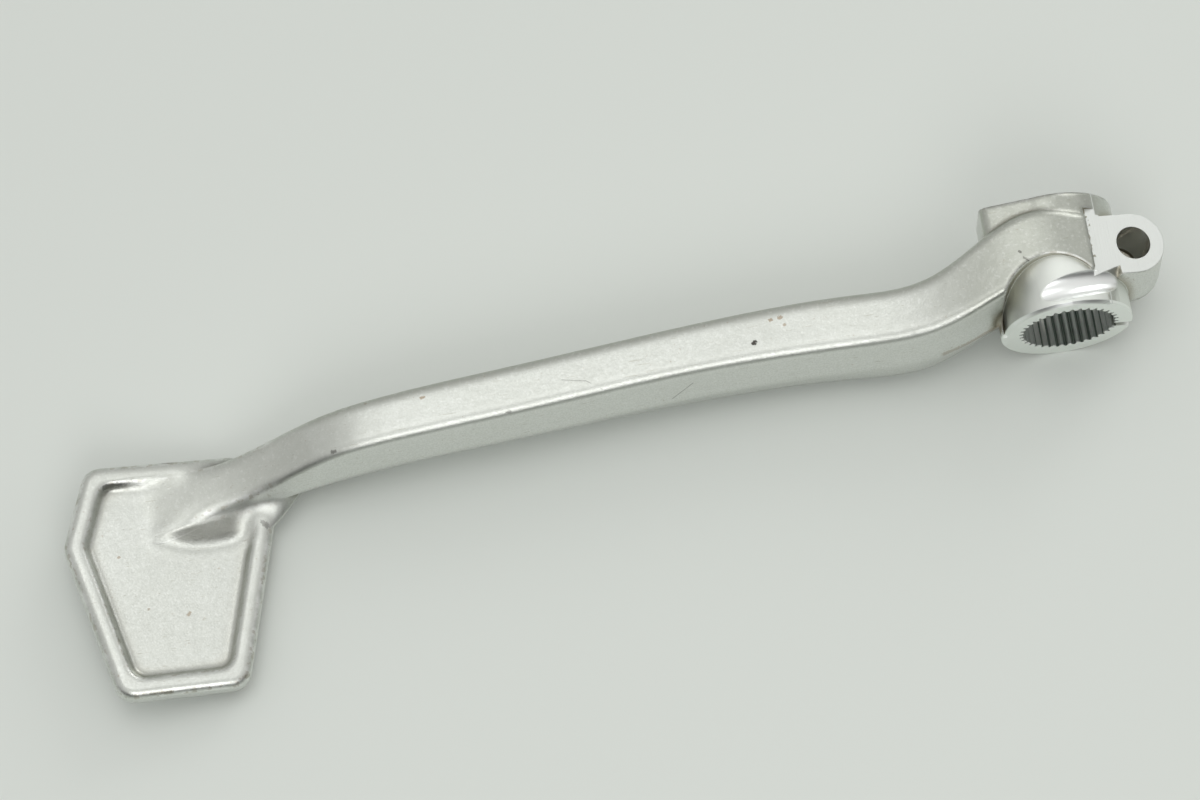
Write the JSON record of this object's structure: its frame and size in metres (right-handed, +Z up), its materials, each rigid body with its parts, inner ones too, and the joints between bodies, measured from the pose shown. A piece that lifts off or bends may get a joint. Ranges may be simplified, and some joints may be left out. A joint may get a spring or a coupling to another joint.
{
  "type": "brake pedal",
  "caption": "Forged light-alloy foot brake lever for a motorbike, with a split serrated clamp boss, a bent arm and a dished foot pad set to one side.",
  "frame": {"origin": "on the bore axis, half way along the clamp boss", "axes": "+X from the foot pad to the pinch ear, +Y along the bore axis to the inboard end of the boss, +Z up as the pedal lies on its foot side, with the rim of the pad facing up"},
  "size_m": [0.27, 0.0841, 0.0325],
  "materials": {
    "forged_alloy": "satin forged skin with bright milled faces, worn edges and small pits"
  },
  "bodies": {
    "root": {"brake_pedal": "forged_alloy"}
  },
  "joints": []
}
